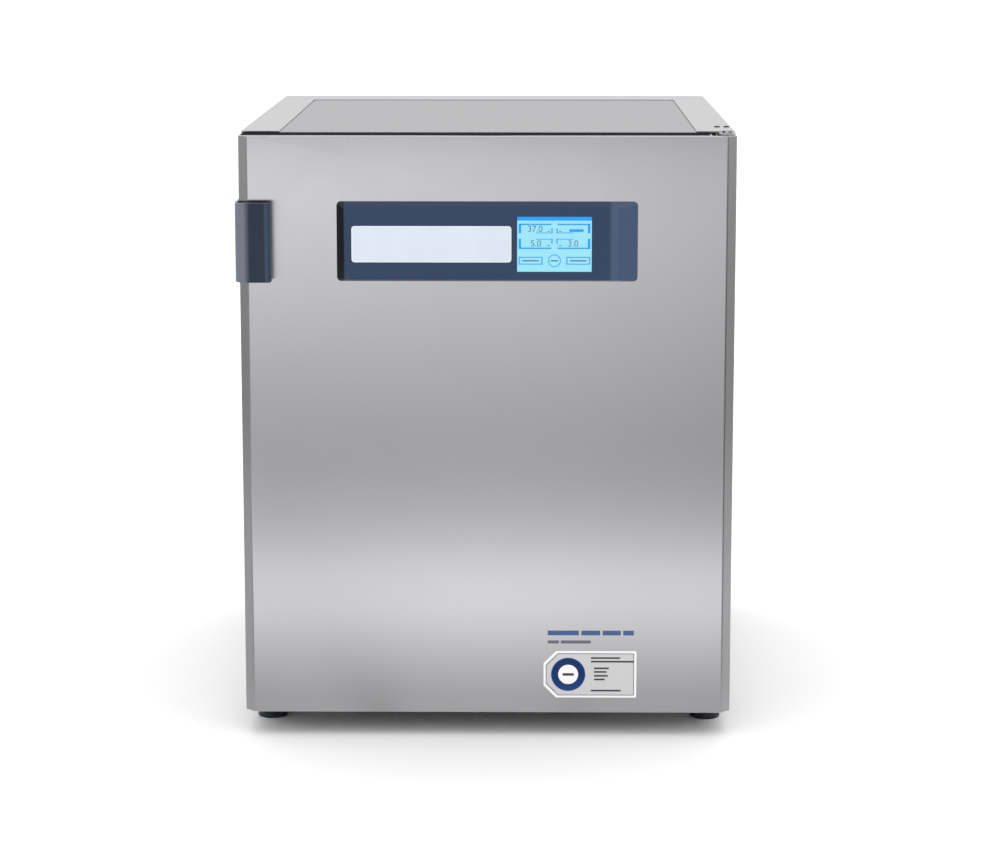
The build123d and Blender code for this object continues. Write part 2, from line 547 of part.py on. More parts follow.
# The control panel's rim slopes from the door up to a flat face, steeply on the left.
with BuildPart() as control_bezel:
    with BuildSketch(upright(DOOR_FRONT)):
        with Locations((0, (BEZEL_LOW + BEZEL_HIGH) / 2)):
            RectangleRounded(2 * BEZEL_HALF, BEZEL_HIGH - BEZEL_LOW, 7.0)
    with BuildSketch(upright(BEZEL_FACE)):
        face_x = (BEZEL_LEFT + BEZEL_RIGHT) / 2
        with Locations((face_x, (BEZEL_FACE_LOW + BEZEL_FACE_HIGH) / 2)):
            RectangleRounded(BEZEL_RIGHT - BEZEL_LEFT, BEZEL_FACE_HIGH - BEZEL_FACE_LOW, 5.0)
    loft()
    slab(-216, 196, BEZEL_FACE + 3, DOOR_FRONT, 750, 852, mode=Mode.SUBTRACT)
    label_x0, label_x1, label_z0, label_z1 = LABEL
    slab(label_x0, label_x1, BEZEL_FACE, BEZEL_FACE + 1, label_z0, label_z1, mode=Mode.SUBTRACT)
    screen_x0, screen_x1, screen_z0, screen_z1 = SCREEN
    slab(screen_x0, screen_x1, BEZEL_FACE, BEZEL_FACE + 3, screen_z0, screen_z1, mode=Mode.SUBTRACT)
save(control_bezel, "control_bezel")

with BuildPart() as label_plate:
    slab(label_x0, label_x1, BEZEL_FACE - 0.2, BEZEL_FACE + 1, label_z0, label_z1)
save(label_plate, "label_plate")

with BuildPart() as touchscreen:
    slab(screen_x0, screen_x1, BEZEL_FACE + 1, BEZEL_FACE + 3, screen_z0, screen_z1)
    slab(screen_x0 - 3, screen_x1 + 3, BEZEL_FACE + 3, BEZEL_FACE + 9, screen_z0 - 3, screen_z1 + 3)
save(touchscreen, "touchscreen")

with BuildPart() as display_board:
    slab(-120, 180, -447.0, -445.4, 756, 846)
    slab(-100, -60, -455.0, -447.0, 780, 820)
    for x in (-110, 170):
        for z in (762, 840):
            rod_y(x, z, 3.0, -445.4, -424.0)
save(display_board, "display_board")

# The handle is an angle of moulded plastic: a wall on the door's side and a grip in front.
with BuildPart() as door_handle:
    with BuildSketch(Plane.XY.offset(BEZEL_LOW + 1)):
        with BuildLine():
            Line((-390, -412), (-396, -412))
            Line((-396, -412), (-396, -468))
            RadiusArc((-396, -468), (-384, -480), 12)
            Line((-384, -480), (-356, -478))
            Line((-356, -478), (-340, -468))
            Line((-340, -468), (-342, -465.5))
            Line((-342, -465.5), (-357, -472))
            Line((-357, -472), (-382, -473.5))
            RadiusArc((-382, -473.5), (-390, -465.5), -8)
            Line((-390, -465.5), (-390, -412))
        make_face()
    extrude(amount=BEZEL_HIGH - BEZEL_LOW - 2)
save(door_handle, "door_handle")

# ---- inner glass door ----
with BuildPart() as glass_pane:
    with BuildSketch(upright(GLASS_FRONT)):
        with Locations((0, glass_z)):
            RectangleRounded(2 * GLASS_HALF, glass_h, 10.0)
    extrude(amount=-GLASS_T)
save(glass_pane, "glass_pane")

with BuildPart() as glass_door_hinges:
    for z in GLASS_HINGE_Z:
        rod_z(GLASS_PIVOT_X, GLASS_PIVOT_Y, 6.0, z, z + 40)
        slab(292.0, GLASS_PIVOT_X, GLASS_PIVOT_Y - 4, GLASS_FRONT, z, z + 40)
        rod_z(GLASS_PIVOT_X, GLASS_PIVOT_Y, 3.0 + RUN, z, z + 40, mode=Mode.SUBTRACT)
save(glass_door_hinges, "glass_door_hinges")

with BuildPart() as latch_plate:
    slab(-336, -296, -369.0, GLASS_FRONT, LATCH_Z - 6, LATCH_Z + 10)
    rod_y(LATCH_X, LATCH_Z, 3.0 + RUN, -370.0, GLASS_FRONT, mode=Mode.SUBTRACT)
save(latch_plate, "latch_plate")

with BuildPart() as latch_knob:
    rod_y(LATCH_X, LATCH_Z, 8.0, -384.0, -369.3)
    rod_y(LATCH_X, LATCH_Z, 3.0, -369.3, -361.5)
    slab(LATCH_X - 11.5, LATCH_X + 4, -361.5, -359.5, LATCH_Z - 4, LATCH_Z + 4)
    fillet(latch_knob.faces().sort_by(Axis.Y)[0].edges(), 2.0)
save(latch_knob, "latch_knob")
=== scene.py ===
import bpy
import json
from math import atan2, hypot, pi, radians
from mathutils import Euler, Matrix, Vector


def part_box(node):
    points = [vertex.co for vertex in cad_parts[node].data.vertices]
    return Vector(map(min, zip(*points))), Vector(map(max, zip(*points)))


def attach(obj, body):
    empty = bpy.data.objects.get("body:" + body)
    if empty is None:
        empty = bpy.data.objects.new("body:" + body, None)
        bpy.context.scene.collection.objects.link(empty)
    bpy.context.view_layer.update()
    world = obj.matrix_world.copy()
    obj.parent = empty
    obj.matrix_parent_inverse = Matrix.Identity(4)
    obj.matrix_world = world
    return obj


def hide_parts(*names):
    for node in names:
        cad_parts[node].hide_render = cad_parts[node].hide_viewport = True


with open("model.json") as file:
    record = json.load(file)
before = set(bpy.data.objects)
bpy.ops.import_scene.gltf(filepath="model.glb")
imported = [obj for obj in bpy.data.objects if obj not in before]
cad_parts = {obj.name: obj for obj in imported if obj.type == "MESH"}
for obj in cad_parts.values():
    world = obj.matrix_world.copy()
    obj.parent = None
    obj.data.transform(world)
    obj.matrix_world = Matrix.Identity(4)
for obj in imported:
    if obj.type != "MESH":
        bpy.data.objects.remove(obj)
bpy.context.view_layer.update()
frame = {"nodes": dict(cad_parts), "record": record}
NODES = frame["nodes"]
BODIES = frame["record"]["behaviour"]["bodies"]
SLOTS = {row["node"]: row["material_slot"] for row in frame["record"]["subparts"]}
X, Y, Z = range(3)


# ---- modelling by hand, in the workshop's own words ----
def clear_selection():
    """Leave edit mode and select nothing."""
    if bpy.context.object and bpy.context.object.mode != "OBJECT":
        bpy.ops.object.mode_set(mode="OBJECT")
    bpy.ops.object.select_all(action="DESELECT")


def activate(piece):
    """Make one piece the only selected object."""
    clear_selection()
    piece.select_set(True)
    bpy.context.view_layer.objects.active = piece


def settle(piece):
    """Move a piece's place into its mesh, so that its object sits at the origin."""
    activate(piece)
    bpy.ops.object.transform_apply(location=True, rotation=True, scale=True)


def choose(piece, kind, wanted):
    """Open a piece in edit mode with only the wanted VERT, EDGE or FACE parts selected."""
    activate(piece)
    mesh = piece.data
    groups = {"VERT": mesh.vertices, "EDGE": mesh.edges, "FACE": mesh.polygons}
    for group in groups.values():
        group.foreach_set("select", [False] * len(group))
    for item in groups[kind]:
        item.select = wanted(item)
    bpy.context.tool_settings.mesh_select_mode = [kind == name for name in groups]
    bpy.ops.object.mode_set(mode="EDIT")


def close_edit():
    bpy.ops.object.mode_set(mode="OBJECT")


def edge_line(piece, edge):
    """An edge's direction and middle."""
    a, b = (piece.data.vertices[n].co for n in edge.vertices)
    return (b - a).normalized(), (a + b) / 2


def round_edges(piece, axis, where, radius, steps=6):
    """Round the edges that run along one axis and whose middle is wanted."""
    def wanted(edge):
        line, middle = edge_line(piece, edge)
        return abs(line[axis]) > 0.99 and where(middle)

    choose(piece, "EDGE", wanted)
    bpy.ops.mesh.bevel(offset=radius, segments=steps, affect="EDGES", profile=0.5)
    close_edit()


def inset_faces(piece, where, width, move=None):
    """Inset the wanted faces, and then extrude the inner part by a move."""
    choose(piece, "FACE", lambda face: where(face.center, face.normal))
    bpy.ops.mesh.inset(thickness=width, depth=0.0)
    if move:
        bpy.ops.mesh.extrude_region_move(TRANSFORM_OT_translate={"value": move})
    close_edit()


def apply_modifier(piece, kind, **values):
    """Add a modifier, set it up and apply it."""
    activate(piece)
    modifier = piece.modifiers.new(kind.lower(), kind)
    for name, value in values.items():
        setattr(modifier, name, value)
    bpy.ops.object.modifier_apply(modifier=modifier.name)


def soften(piece, width, segments=2, angle=32.0):
    """Round every sharp edge of a piece a little and shade it smooth."""
    apply_modifier(piece, "BEVEL", width=width, segments=segments, limit_method="ANGLE",
                   angle_limit=radians(angle), use_clamp_overlap=True)
    activate(piece)
    bpy.ops.object.shade_smooth_by_angle(angle=radians(40.0))
    apply_modifier(piece, "WEIGHTED_NORMAL", keep_sharp=True)


def block(name, x, y, z, edge=0.0, segments=2):
    """A block between two X, Y and Z values in metres, with softened edges."""
    clear_selection()
    middle = [(low + high) / 2 for low, high in (x, y, z)]
    size = [abs(high - low) for low, high in (x, y, z)]
    bpy.ops.mesh.primitive_cube_add(size=1.0, location=middle, scale=size)
    piece = bpy.context.object
    piece.name = name
    settle(piece)
    if edge:
        soften(piece, edge, segments)
    return piece


def rounded_plate(name, x, y, z, corner, edge):
    """A plate that faces the front, with round corners and softened rims."""
    piece = block(name, x, y, z)
    round_edges(piece, Y, lambda middle: True, corner)
    soften(piece, edge)
    return piece


def rod(name, radius, start, end, sides=32, edge=0.0003):
    """A round bar between two points, with softened ends."""
    clear_selection()
    start, end = Vector(start), Vector(end)
    turn = (end - start).to_track_quat("Z", "Y").to_euler()
    bpy.ops.mesh.primitive_cylinder_add(vertices=sides, radius=radius, depth=(end - start).length,
                                        location=(start + end) / 2, rotation=turn)
    piece = bpy.context.object
    piece.name = name
    settle(piece)
    if edge:
        soften(piece, edge)
    return piece


def join(name, pieces):
    """Make several objects one piece."""
    clear_selection()
    for piece in pieces:
        piece.select_set(True)
    bpy.context.view_layer.objects.active = pieces[0]
    if len(pieces) > 1:
        bpy.ops.object.join()
    joined = bpy.context.object
    joined.name = name
    return joined


def moved_copy(piece, move):
    """A copy of a piece with its own mesh, moved."""
    activate(piece)
    bpy.ops.object.duplicate(linked=False)
    twin = bpy.context.object
    twin.location = Vector(twin.location) + Vector(move)
    settle(twin)
    return twin


def copy_of(node, name):
    """A clean copy of a CAD node: loose triangles merged and flat faces made whole."""
    piece = bpy.data.objects.new(name, NODES[node].data.copy())
    bpy.context.scene.collection.objects.link(piece)
    choose(piece, "FACE", lambda face: True)
    bpy.ops.mesh.remove_doubles(threshold=2e-6)
    bpy.ops.mesh.dissolve_limited(angle_limit=radians(0.6))
    close_edit()
    return piece


def body_of(node):
    """The body that holds a CAD node."""
    return next(body for body, members in BODIES.items() if node in members)


def present(piece, material, body, slot, *nodes):
    """Give a piece its material, its body and the CAD nodes that it stands for."""
    piece.data.materials.clear()
    piece.data.materials.append(material)
    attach(piece, body)
    if nodes:
        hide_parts(*nodes)
    return piece


def refine(node, name, material, width, segments=2, angle=32.0):
    """Stand a softened copy in for a CAD node."""
    piece = copy_of(node, name)
    soften(piece, width, segments, angle)
    return present(piece, material, body_of(node), SLOTS[node], node)


# ---- finishes ----
class Finish:
    """A material under construction: one shader, and patterns on the object's own coordinates."""

    def __init__(self, name, colour, metallic=0.0, roughness=0.5, **fixed):
        self.material = bpy.data.materials.new(name)
        self.material.use_nodes = True
        self.tree = self.material.node_tree
        self.shader = self.tree.nodes["Principled BSDF"]
        self.shader.inputs["Base Color"].default_value = (*colour, 1)
        self.shader.inputs["Metallic"].default_value = metallic
        self.shader.inputs["Roughness"].default_value = roughness
        for socket, value in fixed.items():
            self.shader.inputs[socket.replace("_", " ")].default_value = value
        self.colour = colour
        self.place = self.add("ShaderNodeTexCoord").outputs["Object"]

    def add(self, kind, **values):
        node = self.tree.nodes.new(kind)
        for name, value in values.items():
            setattr(node, name, value)
        return node

    def link(self, output, socket):
        self.tree.links.new(output, socket)

    def noise(self, scale, detail=3.0, stretch=(1, 1, 1)):
        """Noise with this many features per metre, stretched along an axis."""
        mapping = self.add("ShaderNodeMapping")
        mapping.inputs["Scale"].default_value = stretch
        self.link(self.place, mapping.inputs["Vector"])
        noise = self.add("ShaderNodeTexNoise")
        noise.inputs["Scale"].default_value = scale
        noise.inputs["Detail"].default_value = detail
        self.link(mapping.outputs["Vector"], noise.inputs["Vector"])
        return noise.outputs["Fac"]

    def average(self, first, second):
        """Half of one pattern and half of another."""
        total = self.add("ShaderNodeMath", operation="ADD")
        self.link(first, total.inputs[0])
        self.link(second, total.inputs[1])
        half = self.add("ShaderNodeMath", operation="MULTIPLY")
        half.inputs[1].default_value = 0.5
        self.link(total.outputs[0], half.inputs[0])
        return half.outputs[0]

    def tint(self, pattern, amount):
        """Vary the base colour, darker and lighter by this share."""
        mix = self.add("ShaderNodeMix", data_type="RGBA")
        mix.inputs["A"].default_value = (*[c * (1 - amount) for c in self.colour], 1)
        mix.inputs["B"].default_value = (*[min(1.0, c * (1 + amount)) for c in self.colour], 1)
        self.link(pattern, mix.inputs["Factor"])
        self.link(mix.outputs["Result"], self.shader.inputs["Base Color"])

    def rough(self, pattern, low, high):
        """Vary the roughness between two values."""
        spread = self.add("ShaderNodeMapRange")
        spread.inputs["From Min"].default_value = 0.3
        spread.inputs["From Max"].default_value = 0.7
        spread.inputs["To Min"].default_value = low
        spread.inputs["To Max"].default_value = high
        self.link(pattern, spread.inputs["Value"])
        self.link(spread.outputs["Result"], self.shader.inputs["Roughness"])

    def relief(self, pattern, height, strength=1.0):
        """Raise the surface by a height in metres."""
        bump = self.add("ShaderNodeBump")
        bump.inputs["Strength"].default_value = strength
        bump.inputs["Distance"].default_value = height
        self.link(pattern, bump.inputs["Height"])
        self.link(bump.outputs["Normal"], self.shader.inputs["Normal"])


def ramp(finish, value, stops):
    """A scale along one value from (place in metres, grey or colour) pairs."""
    first, last = stops[0][0], stops[-1][0]
    spread = finish.add("ShaderNodeMapRange")
    spread.inputs["From Min"].default_value = first
    spread.inputs["From Max"].default_value = last
    finish.link(value, spread.inputs["Value"])
    scale = finish.add("ShaderNodeValToRGB")
    marks = scale.color_ramp.elements
    marks[1].position = 1.0
    for n, (place, shade) in enumerate(stops):
        at = (place - first) / (last - first)
        if n == 0:
            mark = marks[0]
        elif n == len(stops) - 1:
            mark = marks[len(marks) - 1]
        else:
            mark = marks.new(at)
        mark.color = (*shade, 1) if isinstance(shade, tuple) else (shade, shade, shade, 1)
    finish.link(spread.outputs["Result"], scale.inputs["Fac"])
    return scale.outputs["Color"]


def felt_and_painted_shade(name, colour):
    """A black pile seal, quite without gloss; its black is partly painted shade for the dark gaps along the
    door's top.
    """
    pile = Finish(name, colour, 0.0, 0.95, Specular_IOR_Level=0.0)
    hairs = pile.noise(2600.0)
    pile.tint(hairs, 0.2)
    pile.relief(hairs, 4e-5, 0.6)
    return pile.material


def zoned(name, colour, roughness, coat, stops):
    """Moulded plastic whose tone changes along X, in two or three zones of painted shade and painted
    highlight.
    """
    plastic = Finish(name, colour, 0.0, roughness, Coat_Weight=coat, Coat_Roughness=0.22)
    pores = plastic.noise(2200.0, 2.0)
    split = plastic.add("ShaderNodeSeparateXYZ")
    plastic.link(plastic.place, split.inputs["Vector"])
    plastic.link(ramp(plastic, split.outputs["X"], stops), plastic.shader.inputs["Base Color"])
    plastic.rough(pores, roughness - 0.05, roughness + 0.07)
    plastic.relief(pores, 1.2e-5, 0.6)
    return plastic.material


def brushed_steel(name, colour, roughness, grain, spread=0.0, spread_axis="Z"):
    """Steel with a fine grain along one axis and soft clouds from the polishing belt."""
    steel = Finish(name, colour, 1.0, roughness, Anisotropic=spread)
    stretch = [0.012 if axis == grain else 1 for axis in (X, Y, Z)]
    lines = steel.noise(1700.0, 4.0, stretch)
    clouds = steel.noise(11.0, 3.0)
    steel.tint(steel.average(lines, clouds), 0.03)
    steel.rough(steel.average(lines, clouds), roughness - 0.02, roughness + 0.03)
    steel.relief(lines, 2.5e-6, 0.4)
    if spread:
        tangent = steel.add("ShaderNodeTangent", direction_type="RADIAL", axis=spread_axis)
        steel.link(tangent.outputs["Tangent"], steel.shader.inputs["Tangent"])
    return steel.material


def painted(name, colour, roughness=0.4):
    """Powder coat with a faint orange peel."""
    paint = Finish(name, colour, 0.0, roughness)
    peel = paint.noise(900.0, 2.0)
    paint.tint(paint.noise(14.0), 0.03)
    paint.rough(peel, roughness - 0.05, roughness + 0.06)
    paint.relief(peel, 2.5e-5, 0.5)
    return paint.material


def moulded(name, colour, roughness=0.42, grain=2200.0, depth=1.2e-5, coat=0.0):
    """Moulded plastic with a fine spark-eroded texture."""
    plastic = Finish(name, colour, 0.0, roughness, Coat_Weight=coat, Coat_Roughness=0.22)
    pores = plastic.noise(grain, 2.0)
    plastic.tint(plastic.noise(25.0), 0.06)
    plastic.rough(pores, roughness - 0.05, roughness + 0.07)
    plastic.relief(pores, depth, 0.6)
    return plastic.material


def plated(name, colour, roughness=0.2):
    """Zinc or chrome plate with faint drawing marks."""
    plate = Finish(name, colour, 1.0, roughness)
    marks = plate.noise(700.0, 3.0, (1, 1, 0.1))
    plate.tint(plate.noise(60.0), 0.06)
    plate.rough(marks, roughness - 0.05, roughness + 0.1)
    plate.relief(marks, 3e-6, 0.5)
    return plate.material


def rubbery(name, colour, roughness=0.6):
    """Moulded rubber or silicone."""
    rubber = Finish(name, colour, 0.0, roughness, Sheen_Weight=0.12, Sheen_Roughness=0.5)
    skin = rubber.noise(1300.0)
    rubber.tint(rubber.noise(35.0), 0.08)
    rubber.rough(skin, roughness - 0.08, roughness + 0.08)
    rubber.relief(skin, 2e-5, 0.5)
    return rubber.material


def foamed(name, colour):
    """Cut rigid foam, or filter paper, with small cells."""
    foam = Finish(name, colour, 0.0, 0.9)
    cells = foam.add("ShaderNodeTexVoronoi")
    cells.inputs["Scale"].default_value = 420.0
    foam.link(foam.place, cells.inputs["Vector"])
    foam.tint(cells.outputs["Distance"], 0.08)
    foam.relief(cells.outputs["Distance"], 3e-4, 0.7)
    return foam.material


def clear_glass(name, colour):
    """Tempered glass with a faint green tint and cleaning haze."""
    glass = Finish(name, colour, 0.0, 0.03, Alpha=0.2, IOR=1.5, Coat_Weight=0.5, Coat_Roughness=0.03)
    haze = glass.noise(6.0)
    glass.tint(haze, 0.04)
    glass.rough(haze, 0.02, 0.07)
    return glass.material


def glowing(name, colour, light=1.0):
    """A lit area of the display, behind its matt front film."""
    lit = Finish(name, [c * 0.04 for c in colour], 0.0, 0.35)
    lit.shader.inputs["Emission Color"].default_value = (*colour, 1)
    lit.shader.inputs["Emission Strength"].default_value = light
    film = lit.noise(2600.0, 0.0)
    lit.rough(film, 0.32, 0.38)
    return lit.material


def printed(name, colour):
    """Printing ink on a flat sheet."""
    ink = Finish(name, colour, 0.0, 0.45)
    grain = ink.noise(700.0, 2.0)
    ink.tint(grain, 0.06)
    ink.rough(grain, 0.4, 0.5)
    return ink.material


STEEL = (0.655, 0.650, 0.668)
DOOR_STEEL = brushed_steel("brushed_door_steel", STEEL, 0.20, Z, 0.9)
WALL_STEEL = brushed_steel("brushed_wall_steel", STEEL, 0.30, Y, 0.6, "Y")
TOP_STEEL = brushed_steel("brushed_top_steel", (0.60, 0.60, 0.635), 0.34, X)
CENTRE_STEEL = brushed_steel("brushed_centre_steel", (0.42, 0.42, 0.435), 0.36, X)
LINER_STEEL = brushed_steel("polished_liner_steel", (0.70, 0.70, 0.71), 0.22, Z)
TRAY_STEEL = brushed_steel("tray_steel", (0.66, 0.66, 0.67), 0.28, X)
REAR_PAINT = painted("rear_powder_coat", (0.47, 0.47, 0.49))
BASE_PAINT = painted("base_powder_coat", (0.10, 0.10, 0.11), 0.5)
# Slate blue plastic of the control rim, with painted shade on its left end and a painted highlight on its
# right end.
SLATE_PAINTED_SHADE, SLATE_BLUE, SLATE_PAINTED_HIGHLIGHT = (0.001, 0.003, 0.007), (0.011, 0.037, 0.092), (0.044, 0.080, 0.155)
SLATE_WITH_PAINTED_LIGHT = zoned("slate_blue_plastic_painted_shade_and_highlight", SLATE_BLUE, 0.38, 0.1, (
    (-0.2360, SLATE_PAINTED_SHADE), (-0.2245, SLATE_PAINTED_SHADE), (-0.2228, SLATE_BLUE),
    (0.1900, SLATE_BLUE), (0.1960, SLATE_PAINTED_HIGHLIGHT), (0.2360, SLATE_PAINTED_HIGHLIGHT)))
# Dark blue plastic of the handle, with a painted highlight on its left bend and a paler painted highlight on
# its right rim.
GRIP_DARK, GRIP_PAINTED_HIGHLIGHT, GRIP_RIM_PAINTED_HIGHLIGHT = (0.005, 0.015, 0.040), (0.150, 0.160, 0.205), (0.028, 0.050, 0.088)
GRIP_WITH_PAINTED_HIGHLIGHTS = zoned("grip_blue_plastic_painted_highlights", GRIP_DARK, 0.34, 0.1, (
    (-0.3940, GRIP_PAINTED_HIGHLIGHT), (-0.3800, GRIP_PAINTED_HIGHLIGHT), (-0.3700, GRIP_DARK),
    (-0.3480, GRIP_DARK), (-0.3450, GRIP_RIM_PAINTED_HIGHLIGHT), (-0.3370, GRIP_RIM_PAINTED_HIGHLIGHT)))
BLACK = moulded("black_plastic", (0.018, 0.018, 0.02), 0.4)
FOOT_NAVY = moulded("foot_navy_plastic", (0.004, 0.007, 0.016), 0.4)
IVORY = moulded("white_plastic", (0.78, 0.78, 0.76), 0.45)
LABEL = moulded("label_sheet", (0.645, 0.705, 0.795), 0.34, 3000.0, 4e-6, 0.2)
LABEL_RIM = moulded("label_rim", (0.78, 0.80, 0.86), 0.3, 3000.0, 4e-6, 0.2)
ZINC = plated("zinc_plate", (0.60, 0.60, 0.62), 0.24)
CHROME = plated("hinge_chrome", (0.72, 0.72, 0.74), 0.12)
DARK_STEEL = plated("blackened_steel", (0.04, 0.04, 0.042), 0.5)
ALLOY = plated("cast_alloy", (0.62, 0.62, 0.63), 0.42)
BRASS = plated("turned_brass", (0.72, 0.52, 0.24), 0.28)
GASKET = rubbery("gasket_rubber", (0.022, 0.023, 0.026))
SILICONE = rubbery("clear_silicone", (0.62, 0.62, 0.60), 0.45)
BUMPER = rubbery("bumper_rubber", (0.02, 0.02, 0.022), 0.7)
# Black pile, partly a seal and partly painted shade: it darkens the gaps along the door's top.
FELT_AND_PAINTED_SHADE = felt_and_painted_shade("black_pile_and_painted_shade", (0.020, 0.021, 0.026))
HEATER = rubbery("heater_mat", (0.50, 0.13, 0.06), 0.55)
FOAM = foamed("rigid_foam", (0.80, 0.76, 0.62))
PAPER = foamed("filter_paper", (0.85, 0.85, 0.82))
GLASS = clear_glass("tempered_glass", (0.80, 0.90, 0.88))
CIRCUIT = moulded("solder_mask", (0.012, 0.13, 0.05), 0.3, 900.0)
SCREEN = glowing("display_ground", (0.32, 0.745, 0.90))
SCREEN_BLUE = glowing("display_blue", (0.01, 0.33, 0.95))
SCREEN_LIGHT_BLUE = glowing("display_light_blue", (0.03, 0.33, 0.84))
SCREEN_DARK = glowing("display_digits", (0.07, 0.20, 0.34))
INK_BLUE = printed("blue_ink", (0.045, 0.105, 0.26))
INK_GREY = printed("grey_ink", (0.13, 0.14, 0.18))
INK_BLACK = printed("black_ink", (0.03, 0.03, 0.035))
BADGE_BLUE = printed("badge_blue", (0.0005, 0.055, 0.27))
STICKER_WHITE = printed("sticker_white", (0.92, 0.92, 0.92))
STICKER_FIELD = printed("sticker_field", (0.60, 0.60, 0.605))


# ---- camera, light and floor ----
LENS = 100.67             # millimetres on a 36 mm wide frame
SHIFT = -0.05             # of the picture upwards, as a share of its width
EYE = (0.0666, -4.8032, 1.3189)
PITCH = 9.50              # degrees below level
SWING = 0.613             # degrees to the left


def set_camera():
    """A long lens in front of the door, a little above its top edge."""
    data = bpy.data.cameras.new("camera")
    data.sensor_width = 36.0
    data.lens = LENS
    data.shift_y = SHIFT
    data.clip_end = 200.0
    camera = bpy.data.objects.new("camera", data)
    bpy.context.scene.collection.objects.link(camera)
    camera.location = EYE
    camera.rotation_euler = Euler((radians(90.0 - PITCH), 0.0, radians(SWING)), "XYZ")
    bpy.context.scene.camera = camera


def area_light(name, place, aim, width, height, power):
    """A soft rectangular light."""
    data = bpy.data.lights.new(name, "AREA")
    data.shape = "RECTANGLE"
    data.size = width
    data.size_y = height
    data.energy = power
    light = bpy.data.objects.new(name, data)
    bpy.context.scene.collection.objects.link(light)
    light.location = place
    light.rotation_euler = (Vector(aim) - Vector(place)).to_track_quat("-Z", "Y").to_euler()


# Brightness of the white room against the rise of the direction, from level 0 to straight up 1:
# (first rise, last rise, brightness at the first, brightness at the last), the two parts added.
OVERHEAD = (0.30, 1.0, 0.60, 1.88)
HORIZON = (0.20, 0.30, 0.44, 0.0)


def set_light():
    """A white room, bright at the horizon and overhead, with a soft key light and a top light."""
    world = bpy.data.worlds.new("studio")
    world.use_nodes = True
    tree = world.node_tree
    direction = tree.nodes.new("ShaderNodeTexCoord")
    split = tree.nodes.new("ShaderNodeSeparateXYZ")
    tree.links.new(direction.outputs["Generated"], split.inputs["Vector"])
    sky = tree.nodes.new("ShaderNodeMath")
    for socket, (near, far, first, last) in zip(sky.inputs, (OVERHEAD, HORIZON)):
        part = tree.nodes.new("ShaderNodeMapRange")
        for name, value in (("From Min", near), ("From Max", far), ("To Min", first), ("To Max", last)):
            part.inputs[name].default_value = value
        tree.links.new(split.outputs["Z"], part.inputs["Value"])
        tree.links.new(part.outputs["Result"], socket)
    tree.links.new(sky.outputs[0], tree.nodes["Background"].inputs["Strength"])
    tree.nodes["Background"].inputs["Color"].default_value = (1.0, 1.0, 1.0, 1)
    bpy.context.scene.world = world
    area_light("key", (-2.6, -3.2, 3.4), (0, 0, 0.5), 2.0, 2.0, 5)
    area_light("top", (0.0, 1.6, 4.2), (0, 0, 0.9), 3.0, 3.0, 20)
    bpy.context.scene.view_settings.view_transform = "Standard"


def lay_floor():
    """A plain pale floor."""
    clear_selection()
    bpy.ops.mesh.primitive_plane_add(size=160.0, location=(0, 0, 0))
    floor = bpy.context.object
    floor.name = "floor"
    pale = Finish("pale_floor", (0.93, 0.93, 0.935), 0.0, 1.0)
    pale.shader.inputs["Specular IOR Level"].default_value = 0.0
    floor.data.materials.append(pale.material)


FAN_Y = 0.55              # the Y that the share of X is counted from


def reflector(name, x, y, z, along, across, aside=((-9.0, 1.0), (9.0, 1.0))):
    """A graded grey board that only gloss reflects: it isn't seen, throws no shadow and lights nothing.
    Its grey follows Y along it, X across it, and aside, the share of X in the distance from FAN_Y."""
    clear_selection()
    bpy.ops.mesh.primitive_plane_add(size=1.0, location=(0, 0, 0))
    board = bpy.context.object
    board.name = name
    heights = z if len(z) == 4 else z * 2
    for vertex, corner, height in zip(board.data.vertices, ((0, 0), (1, 0), (0, 1), (1, 1)), heights):
        vertex.co = (x[corner[0]], y[corner[1]], height)
    grey = Finish(name + "_grey", (0, 0, 0), 0.0, 1.0)
    grey.shader.inputs["Specular IOR Level"].default_value = 0.0
    split = grey.add("ShaderNodeSeparateXYZ")
    grey.link(grey.place, split.inputs["Vector"])
    distance = grey.add("ShaderNodeMath", operation="SUBTRACT")
    distance.inputs[0].default_value = FAN_Y
    grey.link(split.outputs["Y"], distance.inputs[1])
    share = grey.add("ShaderNodeMath", operation="DIVIDE")
    grey.link(split.outputs["X"], share.inputs[0])
    grey.link(distance.outputs[0], share.inputs[1])
    shade = ramp(grey, split.outputs["Y"], along)
    for value, stops in ((split.outputs["X"], across), (share.outputs[0], aside)):
        both = grey.add("ShaderNodeMix", data_type="RGBA", blend_type="MULTIPLY")
        both.inputs["Factor"].default_value = 1.0
        grey.link(shade, both.inputs["A"])
        grey.link(ramp(grey, value, stops), both.inputs["B"])
        shade = both.outputs["Result"]
    grey.link(shade, grey.shader.inputs["Emission Color"])
    grey.shader.inputs["Emission Strength"].default_value = 1.0
    grey.material.cycles.emission_sampling = "NONE"
    board.data.materials.append(grey.material)
    board.visible_camera = False
    board.visible_diffuse = False
    board.visible_shadow = False
    board.visible_transmission = False


ROOM = 14                 # metres from the middle to the walls of the grey room
CEILING = 6
LOW = 0.004               # height of the boards that lie on the floor
